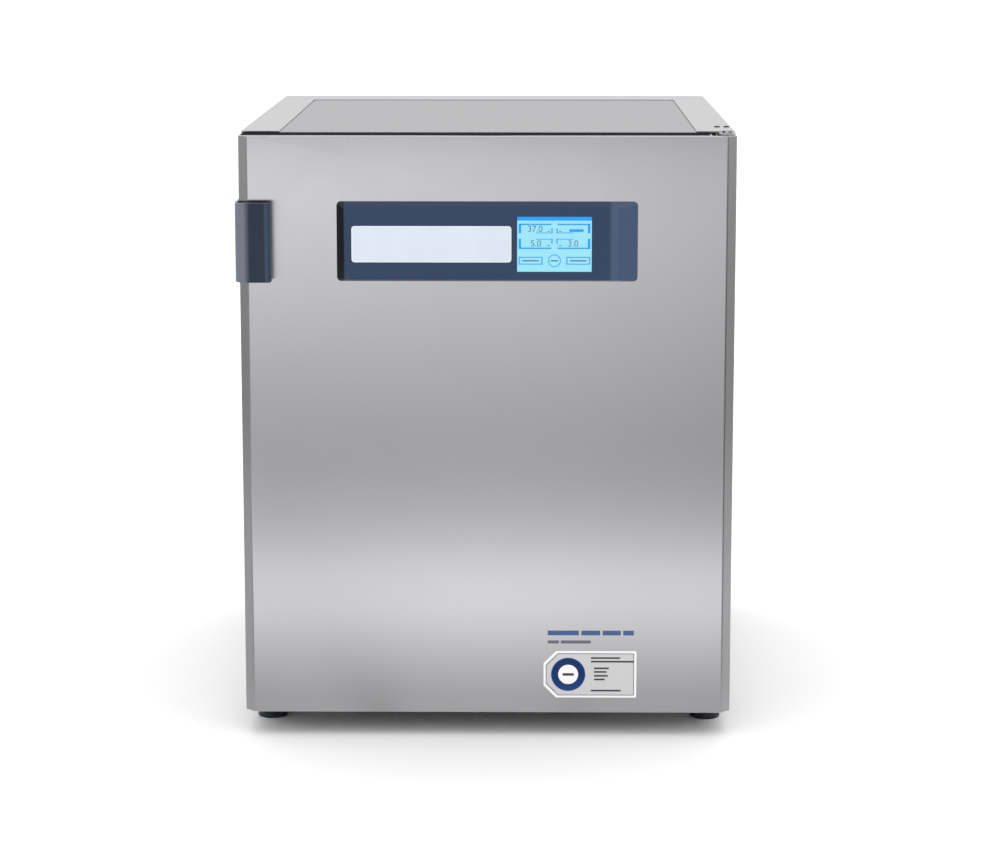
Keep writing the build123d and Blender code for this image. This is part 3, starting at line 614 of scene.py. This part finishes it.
# Greys of the boards, as (place in metres, brightness); the three of the front board are multiplied.
EVEN = ((-15.0, 1.0), (15.0, 1.0))
FRONT_BY_Y = (
    (-14.0, 1.20), (-11.4, 1.20), (-10.2, 1.24), (-9.2, 1.18), (-7.0, 1.00), (-5.5, 0.87), (-4.6, 0.765),
    (-4.0, 0.70), (-3.0, 0.565), (-2.5, 0.565), (-1.95, 0.735), (-1.55, 1.07), (-1.25, 1.07),
    (-0.93, 0.76), (-0.69, 0.56), (-0.46, 0.52))
FRONT_BY_X = (
    (-14.0, 0.90), (-1.5, 1.12), (-1.25, 1.05), (-1.0, 1.0), (-0.76, 0.92), (-0.55, 0.89), (-0.45, 0.90),
    (-0.30, 0.97), (0.0, 1.0), (0.3, 0.96), (0.5, 0.91), (0.6, 0.85), (0.75, 0.76), (0.9, 0.68),
    (1.15, 0.50), (1.5, 0.46), (14.0, 0.45))
FRONT_BY_SHARE = (
    (-1.1, 0.40), (-0.70, 0.55), (-0.50, 1.0), (-0.21, 1.0), (-0.18, 0.88), (-0.165, 0.76), (-0.15, 0.78),
    (-0.132, 0.97), (-0.11, 1.0), (0.10, 1.0), (0.12, 0.82), (0.14, 0.90), (0.16, 1.0), (0.50, 1.0),
    (0.70, 0.55), (1.1, 0.40))
LEFT_BY_X = (
    (-14.0, 0.43), (-11.0, 0.43), (-4.7, 0.29), (-3.1, 0.31), (-2.16, 0.45), (-1.26, 0.55), (-0.66, 0.48),
    (-0.40, 0.48))
RIGHT_BY_X = (
    (0.40, 0.58), (0.66, 0.58), (1.26, 0.76), (2.16, 0.60), (3.1, 0.44), (4.7, 0.44), (11.0, 0.50),
    (14.0, 0.50))


def lay_reflectors():
    """Grey boards around the object, which give the steel its soft bands."""
    level = ((-14.0, 1.0), (14.0, 1.0))
    behind = (-0.46, 6)
    reflector("front_board", (-ROOM, ROOM), (-ROOM, -0.46), (LOW, LOW),
              FRONT_BY_Y, FRONT_BY_X, FRONT_BY_SHARE)
    reflector("left_board", (-ROOM, -0.40), behind, (LOW, LOW), level, LEFT_BY_X)
    reflector("right_board", (0.40, ROOM), behind, (LOW, LOW), level, RIGHT_BY_X)
    thin = 0.001
    for name, x, y, z, grey in (
            ("ceiling_board", (-ROOM, ROOM), (ROOM, -ROOM), (CEILING, CEILING), 0.72),
            ("front_wall_board", (-ROOM, ROOM), (-ROOM, -ROOM + thin), (0, 0, CEILING, CEILING), 0.30),
            ("back_wall_board", (-ROOM, ROOM), (ROOM, ROOM + thin), (0, 0, CEILING, CEILING), 0.79),
            ("left_wall_board", (-ROOM - thin, -ROOM), (-ROOM, 8), (CEILING, LOW), 0.40),
            ("right_wall_board", (ROOM, ROOM + thin), (-ROOM, 8), (LOW, CEILING), 0.46)):
        reflector(name, x, y, z, ((-15.0, grey), (15.0, grey)), EVEN)


# ---- outer door ----
door_low, door_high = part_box("door_skin")
PRINT = 0.0002            # height of a printed line
MARGIN = 0.0001           # how far a printed line reaches into its ground
CORNER = 0.0120           # radius of the door skin's front corners
FOLD = 0.0148             # width and depth of the flat fold that takes their place
FOLD_EDGE = 0.0018        # rounding between the fold and the face
SHEET = 0.0015            # thickness of the door skin
TOP_BEND = 0.0060
LOW_BEND = 0.0025


def flatten_corners(sheet):
    """Draw the columns of each round front corner onto a flat slanting fold."""
    for side, edge in ((1, door_low.x), (-1, door_high.x)):
        def inward(co):
            return side * (co.x - edge), co.y - door_low.y

        columns = {tuple(round(d, 5) for d in inward(vertex.co)) for vertex in sheet.data.vertices
                   if max(inward(vertex.co)) < CORNER + 1e-5}
        for column in sorted(columns):
            across, back = (CORNER - d for d in column)
            inner = SHEET if hypot(across, back) < CORNER - SHEET / 2 else 0.0
            turn = atan2(back, across) / (pi / 2)
            target = (inner + turn * (FOLD - inner), FOLD + turn * (inner - FOLD))
            choose(sheet, "VERT", lambda vertex: all(
                abs(a - b) < 1.5e-5 for a, b in zip(inward(vertex.co), column)))
            move = (side * (target[0] - column[0]), target[1] - column[1], 0)
            bpy.ops.transform.translate(value=move)
            close_edit()


def door_foam():
    """The door's foam, trimmed along the flat folds of the sheet."""
    foam = copy_of("door_insulation", "door_foam")
    gap = SHEET + 0.0005
    for side, edge in ((-1, door_low.x), (1, door_high.x)):
        choose(foam, "FACE", lambda face: True)
        place = (edge - side * (FOLD + gap), door_low.y + gap, 0)
        bpy.ops.mesh.bisect(plane_co=place, plane_no=(side, -1, 0), use_fill=True, clear_outer=True)
        close_edit()
    present(foam, FOAM, body_of("door_insulation"), SLOTS["door_insulation"], "door_insulation")


def door_sheet():
    """The door's folded sheet, with flat front corners and a wider bend along its top and bottom edges."""
    sheet = copy_of("door_skin", "door_sheet")
    corner_depth = FOLD + 0.0005
    flatten_corners(sheet)
    for edge in (door_low.x + FOLD, door_high.x - FOLD):
        round_edges(sheet, Z, lambda middle: abs(middle.x - edge) < 1e-4 and middle.y < door_low.y + 1e-4,
                    FOLD_EDGE, 3)

    def bend_along(height):
        def wanted(edge):
            ends = [sheet.data.vertices[n].co for n in edge.vertices]
            return all(abs(end.z - height) < 1e-5 and end.y < door_low.y + corner_depth for end in ends)
        return wanted

    for height, bend in ((door_high.z, TOP_BEND), (door_low.z, LOW_BEND)):
        choose(sheet, "EDGE", bend_along(height))
        bpy.ops.mesh.bevel(offset=bend, segments=5, affect="EDGES", clamp_overlap=True)
        close_edit()
    soften(sheet, 0.0005, 2, 50.0)
    present(sheet, DOOR_STEEL, "outer_door", SLOTS["door_skin"], "door_skin")


def top_gap_seal_and_painted_shade():
    """A black lip along the cabinet's front edge, in the gap above the door: partly a seal, partly painted
    shade for the gap.
    """
    low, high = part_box("front_frame")
    right_end, depth, drop = 0.360, 0.0018, 0.0060
    lip = block("top_gap_seal_and_painted_shade", (low.x + 0.002, right_end), (low.y - depth, low.y),
                (high.z - drop, high.z - 0.0001))
    round_edges(lip, X, lambda middle: middle.y < low.y - 0.001, 0.0012, 3)
    soften(lip, 0.0003, 1)
    present(lip, FELT_AND_PAINTED_SHADE, "cabinet", "black_rubber")


def door_edge_seal_and_painted_shade():
    """A black pile seal along the back of the door's top, up to the hinge bracket's pocket; its black is
    partly painted shade in the gap above the door.
    """
    right_end, depth, rise = 0.349, 0.030, 0.0008
    profile = block("door_edge_seal_and_painted_shade", (door_low.x + 0.003, right_end), (door_high.y - depth, door_high.y),
                    (door_high.z - rise, door_high.z + rise))
    round_edges(profile, X, lambda middle: middle.z > door_high.z and middle.y < door_high.y - depth / 3,
                0.0004, 3)
    soften(profile, 0.0001, 1)
    present(profile, FELT_AND_PAINTED_SHADE, "outer_door", SLOTS["door_gasket"])


def dress_door():
    """Softened copies of the door's other nodes."""
    refine("control_bezel", "control_rim", SLATE_WITH_PAINTED_LIGHT, 0.0012, 3, 14.0)
    refine("door_gasket", "door_seal", GASKET, 0.003, 3)
    refine("door_inner_panel", "door_back_plate", LINER_STEEL, 0.0006)


def bar(x0, x1, z0, z1, front, height=PRINT):
    """A thin printed bar on a surface that faces the front."""
    x, z = sorted((x0, x1)), sorted((z0, z1))
    return block("bar", x, (front - height, front + MARGIN), z, 0.00006, 1)


def label_plate():
    """A pale plate with a brighter raised rim and an empty field."""
    low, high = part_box("label_plate")
    rim, rim_rise, field_rise = 0.0020, 0.0006, 0.0010
    plate = rounded_plate("label_rim_plate", (low.x, high.x), (low.y - rim_rise, high.y),
                          (low.z, high.z), 0.005, 0.0004)
    present(plate, LABEL_RIM, "outer_door", "label", "label_plate")
    field = rounded_plate("label_field", (low.x + rim, high.x - rim), (low.y - field_rise, low.y),
                          (low.z + rim, high.z - rim), 0.004, 0.0002)
    present(field, LABEL, "outer_door", "label")


def button_ring(x, z, outer, width, front):
    """A flat printed ring: a disc whose face is inset and sunk into the ground."""
    ring = rod("ring", outer, (x, front + MARGIN, z), (x, front - PRINT, z), 64, 0)
    inset_faces(ring, lambda middle, normal: normal.y < -0.9, width, (0, 1.6 * PRINT, 0))
    return ring


def lettering(words, x, z, size, front):
    """Plain digits on a surface that faces the front."""
    clear_selection()
    bpy.ops.object.text_add(location=(x, front, z), rotation=(pi / 2, 0, 0))
    text = bpy.context.object
    text.data.body = words
    text.data.size = size
    text.data.extrude = PRINT / 2
    text.data.align_x = "CENTER"
    text.data.align_y = "CENTER"
    bpy.ops.object.convert(target="MESH")
    settle(bpy.context.object)
    return bpy.context.object


def display_picture():
    """The picture on the display: a header, four readings in brackets and three buttons."""
    low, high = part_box("touchscreen")
    frame_width = 0.003
    x0, z0 = low.x + frame_width, low.z + frame_width
    wide, tall = high.x - low.x - 2 * frame_width, high.z - low.z - 2 * frame_width
    face = low.y

    def patch(u0, u1, v0, v1):
        """A bar between shares of the picture's width and height."""
        return bar(x0 + wide * u0, x0 + wide * u1, z0 + tall * v0, z0 + tall * v1, face)

    strong = [patch(0.0, 1.0, 0.93, 1.0), patch(0.70, 0.89, 0.725, 0.775)]
    light, dark = [], []
    for mirrored in (False, True):
        def side(u):
            return 1 - u if mirrored else u

        for outer, inner, inward in ((0.875, 0.70, -1), (0.415, 0.60, 1)):
            strong.append(patch(side(0.02), side(0.46), outer, outer + inward * 0.026))
            strong.append(patch(side(0.02), side(0.052), outer, inner))
            light.append(patch(side(0.25), side(0.475), inner, inner - inward * 0.014))
            light.append(patch(side(0.458), side(0.475), inner, inner - inward * 0.09))
        for v in (0.255, 0.13):
            light.append(patch(side(0.02), side(0.34), v, v + 0.017))
        for u in (0.02, 0.325):
            light.append(patch(side(u), side(u + 0.015), 0.13, 0.272))
        dark.append(patch(side(0.07), side(0.29), 0.188, 0.212))
        for v in (0.47, 0.73):
            dark.append(patch(side(0.405), side(0.44), v, v + 0.014))
    for u, v, words in ((0.24, 0.775, "37.0"), (0.25, 0.51, "5.0"), (0.75, 0.51, "3.0")):
        dark.append(lettering(words, x0 + wide * u, z0 + tall * v, 0.0140, face))
    light.append(button_ring(x0 + wide * 0.5, z0 + tall * 0.2, 0.0100, 0.0014, face))
    dark.append(patch(0.45, 0.55, 0.188, 0.212))
    present(join("display_strong_lines", strong), SCREEN_BLUE, "outer_door", "screen")
    present(join("display_light_lines", light), SCREEN_LIGHT_BLUE, "outer_door", "screen")
    present(join("display_digits", dark), SCREEN_DARK, "outer_door", "screen")


def door_grip():
    """The handle: a bar in front of the door's left edge and a wall back along its side."""
    low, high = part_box("door_handle")
    low, high = low + Vector((0.0022, 0, 0)), high + Vector((0.0030, 0, 0))
    bar_depth, wall = 0.0145, 0.0034
    left_bend, right_bend, corner = 0.0180, 0.0085, 0.0045
    grip = block("door_grip", (low.x, high.x), (low.y, high.y), (low.z, high.z))
    round_edges(grip, Z, lambda middle: middle.y < low.y + 0.001 and middle.x < low.x + 0.001, left_bend, 12)
    round_edges(grip, Z, lambda middle: middle.y < low.y + 0.001 and middle.x > high.x - 0.001, right_bend, 3)
    round_edges(grip, Y, lambda middle: middle.x > high.x - 0.001, corner, 5)
    hollow = block("finger_hollow", (low.x + wall, high.x + wall), (low.y + bar_depth, high.y + wall),
                   (low.z - wall, high.z + wall))
    apply_modifier(grip, "BOOLEAN", operation="DIFFERENCE", object=hollow)
    bpy.data.objects.remove(hollow)
    soften(grip, 0.0013, 3, 25.0)
    present(grip, GRIP_WITH_PAINTED_HIGHLIGHTS, "outer_door", SLOTS["door_handle"], "door_handle")


NAME_LEFT = 0.0965        # where both rows of dashes start
NAME_ROWS = (             # name, ink, depth below the door's top, height, dashes from left to right
    ("printed_blue_dashes", INK_BLUE, 0.7990, 0.0078,
     ((0.0, 0.050), (0.054, 0.084), (0.088, 0.117), (0.121, 0.138))),
    ("printed_grey_dashes", INK_GREY, 0.8125, 0.0050,
     ((0.0, 0.018), (0.021, 0.069))))


def printed_name():
    """Rows of plain dashes where the door carries its lettering."""
    for name, ink, top, height, dashes in NAME_ROWS:
        edge = door_high.z - top
        bars = [bar(NAME_LEFT + a, NAME_LEFT + b, edge, edge + height, door_low.y) for a, b in dashes]
        present(join(name, bars), ink, "outer_door", "label")


STICKER_X = (0.090, 0.239)
STICKER_Z = (0.0645, 0.1415)
STICKER_CUT = 0.020       # its two cut corners
STICKER_LAYERS = (        # name, ink, inset from the edge
    ("sticker_sheet", STICKER_WHITE, 0.0),
    ("sticker_line", INK_GREY, 0.0036),
    ("sticker_field", STICKER_FIELD, 0.0048))
LAYER = 0.0001            # each layer rises this much over the one below
BADGE_PLACE = 0.0395      # the badge's middle from the sticker's left edge
BADGE_RADIUS, CORE_RADIUS = 0.0275, 0.0160
STICKER_LINE = 0.0026     # height of a printed dash
STICKER_DASHES = (        # start from the left edge, length, drop from the top edge
    (0.076, 0.047, 0.0100), (0.076, 0.069, 0.0160), (0.081, 0.024, 0.0270), (0.081, 0.020, 0.0330),
    (0.081, 0.022, 0.0395), (0.081, 0.017, 0.0455), (0.076, 0.048, 0.0640))


def service_sticker():
    """A white sticker with cut left corners, a plain round badge and dashes for its lines."""
    (x0, x1), (z0, z1) = STICKER_X, STICKER_Z
    front = door_low.y
    middle = (z0 + z1) / 2
    for n, (name, ink, inset) in enumerate(STICKER_LAYERS):
        rise = 0.00025 + LAYER * n
        sheet = block(name, (x0 + inset, x1 - inset), (front - rise, front + MARGIN),
                      (z0 + inset, z1 - inset))
        round_edges(sheet, Y, lambda at: at.x < x0 + 0.01, STICKER_CUT - 0.2 * inset, 1)
        round_edges(sheet, Y, lambda at: at.x > x1 - 0.01, 0.002, 3)
        soften(sheet, 0.00006, 1)
        present(sheet, ink, "outer_door", "label")
    badge_x = x0 + BADGE_PLACE
    face = front - 0.00045
    badge = rod("sticker_badge", BADGE_RADIUS, (badge_x, front, middle),
                (badge_x, face - PRINT, middle), 64, LAYER)
    inset_faces(badge, lambda at, normal: normal.y < -0.9, 0.0012, (0, 0.00005, 0))
    present(badge, BADGE_BLUE, "outer_door", "label")
    core = rod("sticker_badge_core", CORE_RADIUS, (badge_x, front, middle),
               (badge_x, face - 2 * PRINT, middle), 64, LAYER)
    present(core, STICKER_WHITE, "outer_door", "label")
    bars = [bar(x0 + start, x0 + start + length, z1 - drop - STICKER_LINE, z1 - drop, face)
            for start, length, drop in STICKER_DASHES]
    bars.append(bar(badge_x - 0.009, badge_x + 0.009, middle - 0.002, middle + 0.002, face - 2 * PRINT))
    present(join("sticker_dashes", bars), INK_BLACK, "outer_door", "label")


HINGE_AXIS = (0.377, -0.408)


def hinge_cap():
    """The chromed knuckle over the top hinge pin, with a hexagon socket in its head."""
    low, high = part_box("door_hinge_brackets")
    x, y = HINGE_AXIS
    skirt = rod("hinge_skirt", 0.0135, (x, y, high.z - 0.0060), (x, y, high.z - 0.0008), 48, 0.0012)
    head = rod("hinge_head", 0.0088, (x, y, high.z - 0.0020), (x, y, high.z + 0.0040), 48, 0)
    socket = rod("hinge_socket", 0.0050, (x, y, high.z + 0.0005), (x, y, high.z + 0.0090), 6, 0)
    apply_modifier(head, "BOOLEAN", operation="DIFFERENCE", object=socket)
    bpy.data.objects.remove(socket)
    soften(head, 0.0009, 3)
    present(join("hinge_cap", [skirt, head]), CHROME, body_of("door_hinge_brackets"),
            SLOTS["door_hinge_brackets"])


# ---- cabinet ----
BRACKET_SCREW = (0.3675, -0.296)
BRACKET_SCREW_PITCH = 0.015
REAR_SCREW = (0.376, 0.120)           # X and Z of the first one
REAR_SCREW_ROWS = (0.0, 0.260, 0.520, 0.780)
REAR_SCREW_SPAN = 0.752


def cabinet_screws():
    """Two sunk-head screws on the top and eight button heads down the back."""
    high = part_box("housing_screws")[1]
    x, y = BRACKET_SCREW
    first = rod("socket_head", 0.0046, (x, y, high.z - 0.004), (x, y, high.z + 0.0016), 32, 0)
    inset_faces(first, lambda middle, normal: normal.z > 0.9, 0.0016, (0, 0, -0.0014))
    soften(first, 0.0003)
    heads = join("bracket_screws", [first, moved_copy(first, (BRACKET_SCREW_PITCH, 0, 0))])
    x, z = REAR_SCREW
    button = rod("button_head", 0.0045, (x, high.y - 0.003, z), (x, high.y, z), 32, 0)
    inset_faces(button, lambda middle, normal: normal.y > 0.9, 0.0022, (0, -0.0009, 0))
    soften(button, 0.0004, 3)
    moves = [(side, 0, rise) for side in (0.0, -REAR_SCREW_SPAN) for rise in REAR_SCREW_ROWS]
    buttons = [button] + [moved_copy(button, move) for move in moves[1:]]
    body = body_of("housing_screws")
    present(heads, DARK_STEEL, body, SLOTS["housing_screws"], "housing_screws")
    present(join("rear_screws", buttons), ZINC, body, SLOTS["housing_screws"])


def ceiling_filter():
    """The ceiling air filter: pleated paper between two rims."""
    low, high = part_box("hepa_filter")
    x, y = (low.x + high.x) / 2, (low.y + high.y) / 2
    outer = (high.x - low.x) / 2
    rim, folds = 0.005, 144
    pleats = rod("filter_pleats", outer - 0.006, (x, y, low.z + rim / 2), (x, y, high.z - rim / 2), folds, 0)
    step = 2 * pi / folds
    middle = Vector((x, y, 0))

    def on_valley(vertex):
        spoke = vertex.co - middle
        return round(Vector((0, 1)).angle_signed(Vector((spoke.x, spoke.y)), 0.0) / step) % 2 == 1

    choose(pleats, "VERT", on_valley)
    bpy.ops.transform.resize(value=(0.91, 0.91, 1.0), center_override=(x, y, (low.z + high.z) / 2))
    close_edit()
    present(pleats, PAPER, body_of("hepa_filter"), SLOTS["hepa_filter"])
    rims = []
    for z in (low.z, high.z - rim):
        plate = rod("filter_rim", outer, (x, y, z), (x, y, z + rim), 96, 0)
        rims.append(plate)
    cup = 0.026
    inset_faces(rims[0], lambda at, normal: normal.z < -0.9, cup, (0, 0, 0.003))
    for plate in rims:
        soften(plate, 0.0008, 3)
    present(join("filter_rims", rims), IVORY, body_of("hepa_filter"), SLOTS["hepa_filter"], "hepa_filter")


def dress_cabinet():
    """Softened copies of the cabinet's nodes and of what is fitted to them."""
    for side in ("left", "right"):
        refine(f"side_panel_{side}", f"side_wall_{side}", WALL_STEEL, 0.0008)
    for node, name, finish, width in (
            ("top_panel", "top_centre_sheet", CENTRE_STEEL, 0.0006),
            ("rear_top_cover", "rear_top_sheet", TOP_STEEL, 0.0008),
            ("front_frame", "front_rim", LINER_STEEL, 0.0006),
            ("base_pan", "base_tray", BASE_PAINT, 0.0005),
            ("rear_panel", "rear_sheet", REAR_PAINT, 0.0004),
            ("chamber_liner", "chamber_shell", LINER_STEEL, 0.0005),
            ("glass_door_seal", "glass_seal", SILICONE, 0.0015),
            ("glass_door_brackets", "glass_brackets", ZINC, 0.0005),
            ("shelf_supports", "shelf_rails", LINER_STEEL, 0.0004),
            ("water_pan", "humidity_tray", TRAY_STEEL, 0.0005),
            ("air_plenum", "air_duct_sheet", LINER_STEEL, 0.0004),
            ("mains_inlet", "mains_socket", BLACK, 0.0006),
            ("fuse_drawer", "fuse_holder", BLACK, 0.0005),
            ("switch_frame", "switch_surround", BLACK, 0.0006),
            ("power_rocker", "rocker_key", BLACK, 0.0008),
            ("wall_spacers", "wall_bumpers", BUMPER, 0.0015),
            ("access_port_tube", "port_sleeve", IVORY, 0.0006),
            ("port_stopper", "port_plug", SILICONE, 0.0008),
            ("gas_inlet_stubs", "gas_stubs", BRASS, 0.0006),
            ("door_hinge_brackets", "hinge_arms", CHROME, 0.0008),
            ("latch_plate", "latch_strap", ZINC, 0.0005),
            ("latch_knob", "latch_grip", BLACK, 0.0005),
            ("glass_door_hinges", "glass_clamps", ZINC, 0.0008),
            ("glass_pane", "glass_sheet", GLASS, 0.0012)):
        refine(node, name, finish, width)
    for corner in ("front_left", "front_right", "rear_left", "rear_right"):
        refine(f"foot_pad_{corner}", f"foot_cup_{corner}", FOOT_NAVY, 0.0008)
        refine(f"foot_spindle_{corner}", f"foot_screw_{corner}", ZINC, 0.0005)


KEPT_NODES = {
    "shelf_lower": TRAY_STEEL, "shelf_middle": TRAY_STEEL, "shelf_upper": TRAY_STEEL,
    "shelf_uprights": LINER_STEEL, "heater_mats": HEATER, "insulation_boards": FOAM,
    "fan_motor": ALLOY, "fan_impeller": IVORY, "sensor_head": IVORY,
    "rear_bulkhead": BASE_PAINT, "gas_valve_block": ALLOY, "injection_tube": SILICONE,
    "control_board": CIRCUIT, "power_supply": ALLOY, "door_hinge_bushes": IVORY,
    "touchscreen": SCREEN, "display_board": CIRCUIT,
}


def paint_kept_nodes():
    """Nodes whose CAD shape is right keep it and get their own finish."""
    for node, finish in KEPT_NODES.items():
        mesh = NODES[node].data
        mesh.materials.clear()
        mesh.materials.append(finish)


set_camera()
set_light()
lay_floor()
lay_reflectors()
paint_kept_nodes()
door_sheet()
door_foam()
top_gap_seal_and_painted_shade()
door_edge_seal_and_painted_shade()
dress_door()
label_plate()
display_picture()
door_grip()
printed_name()
service_sticker()
hinge_cap()
cabinet_screws()
ceiling_filter()
dress_cabinet()
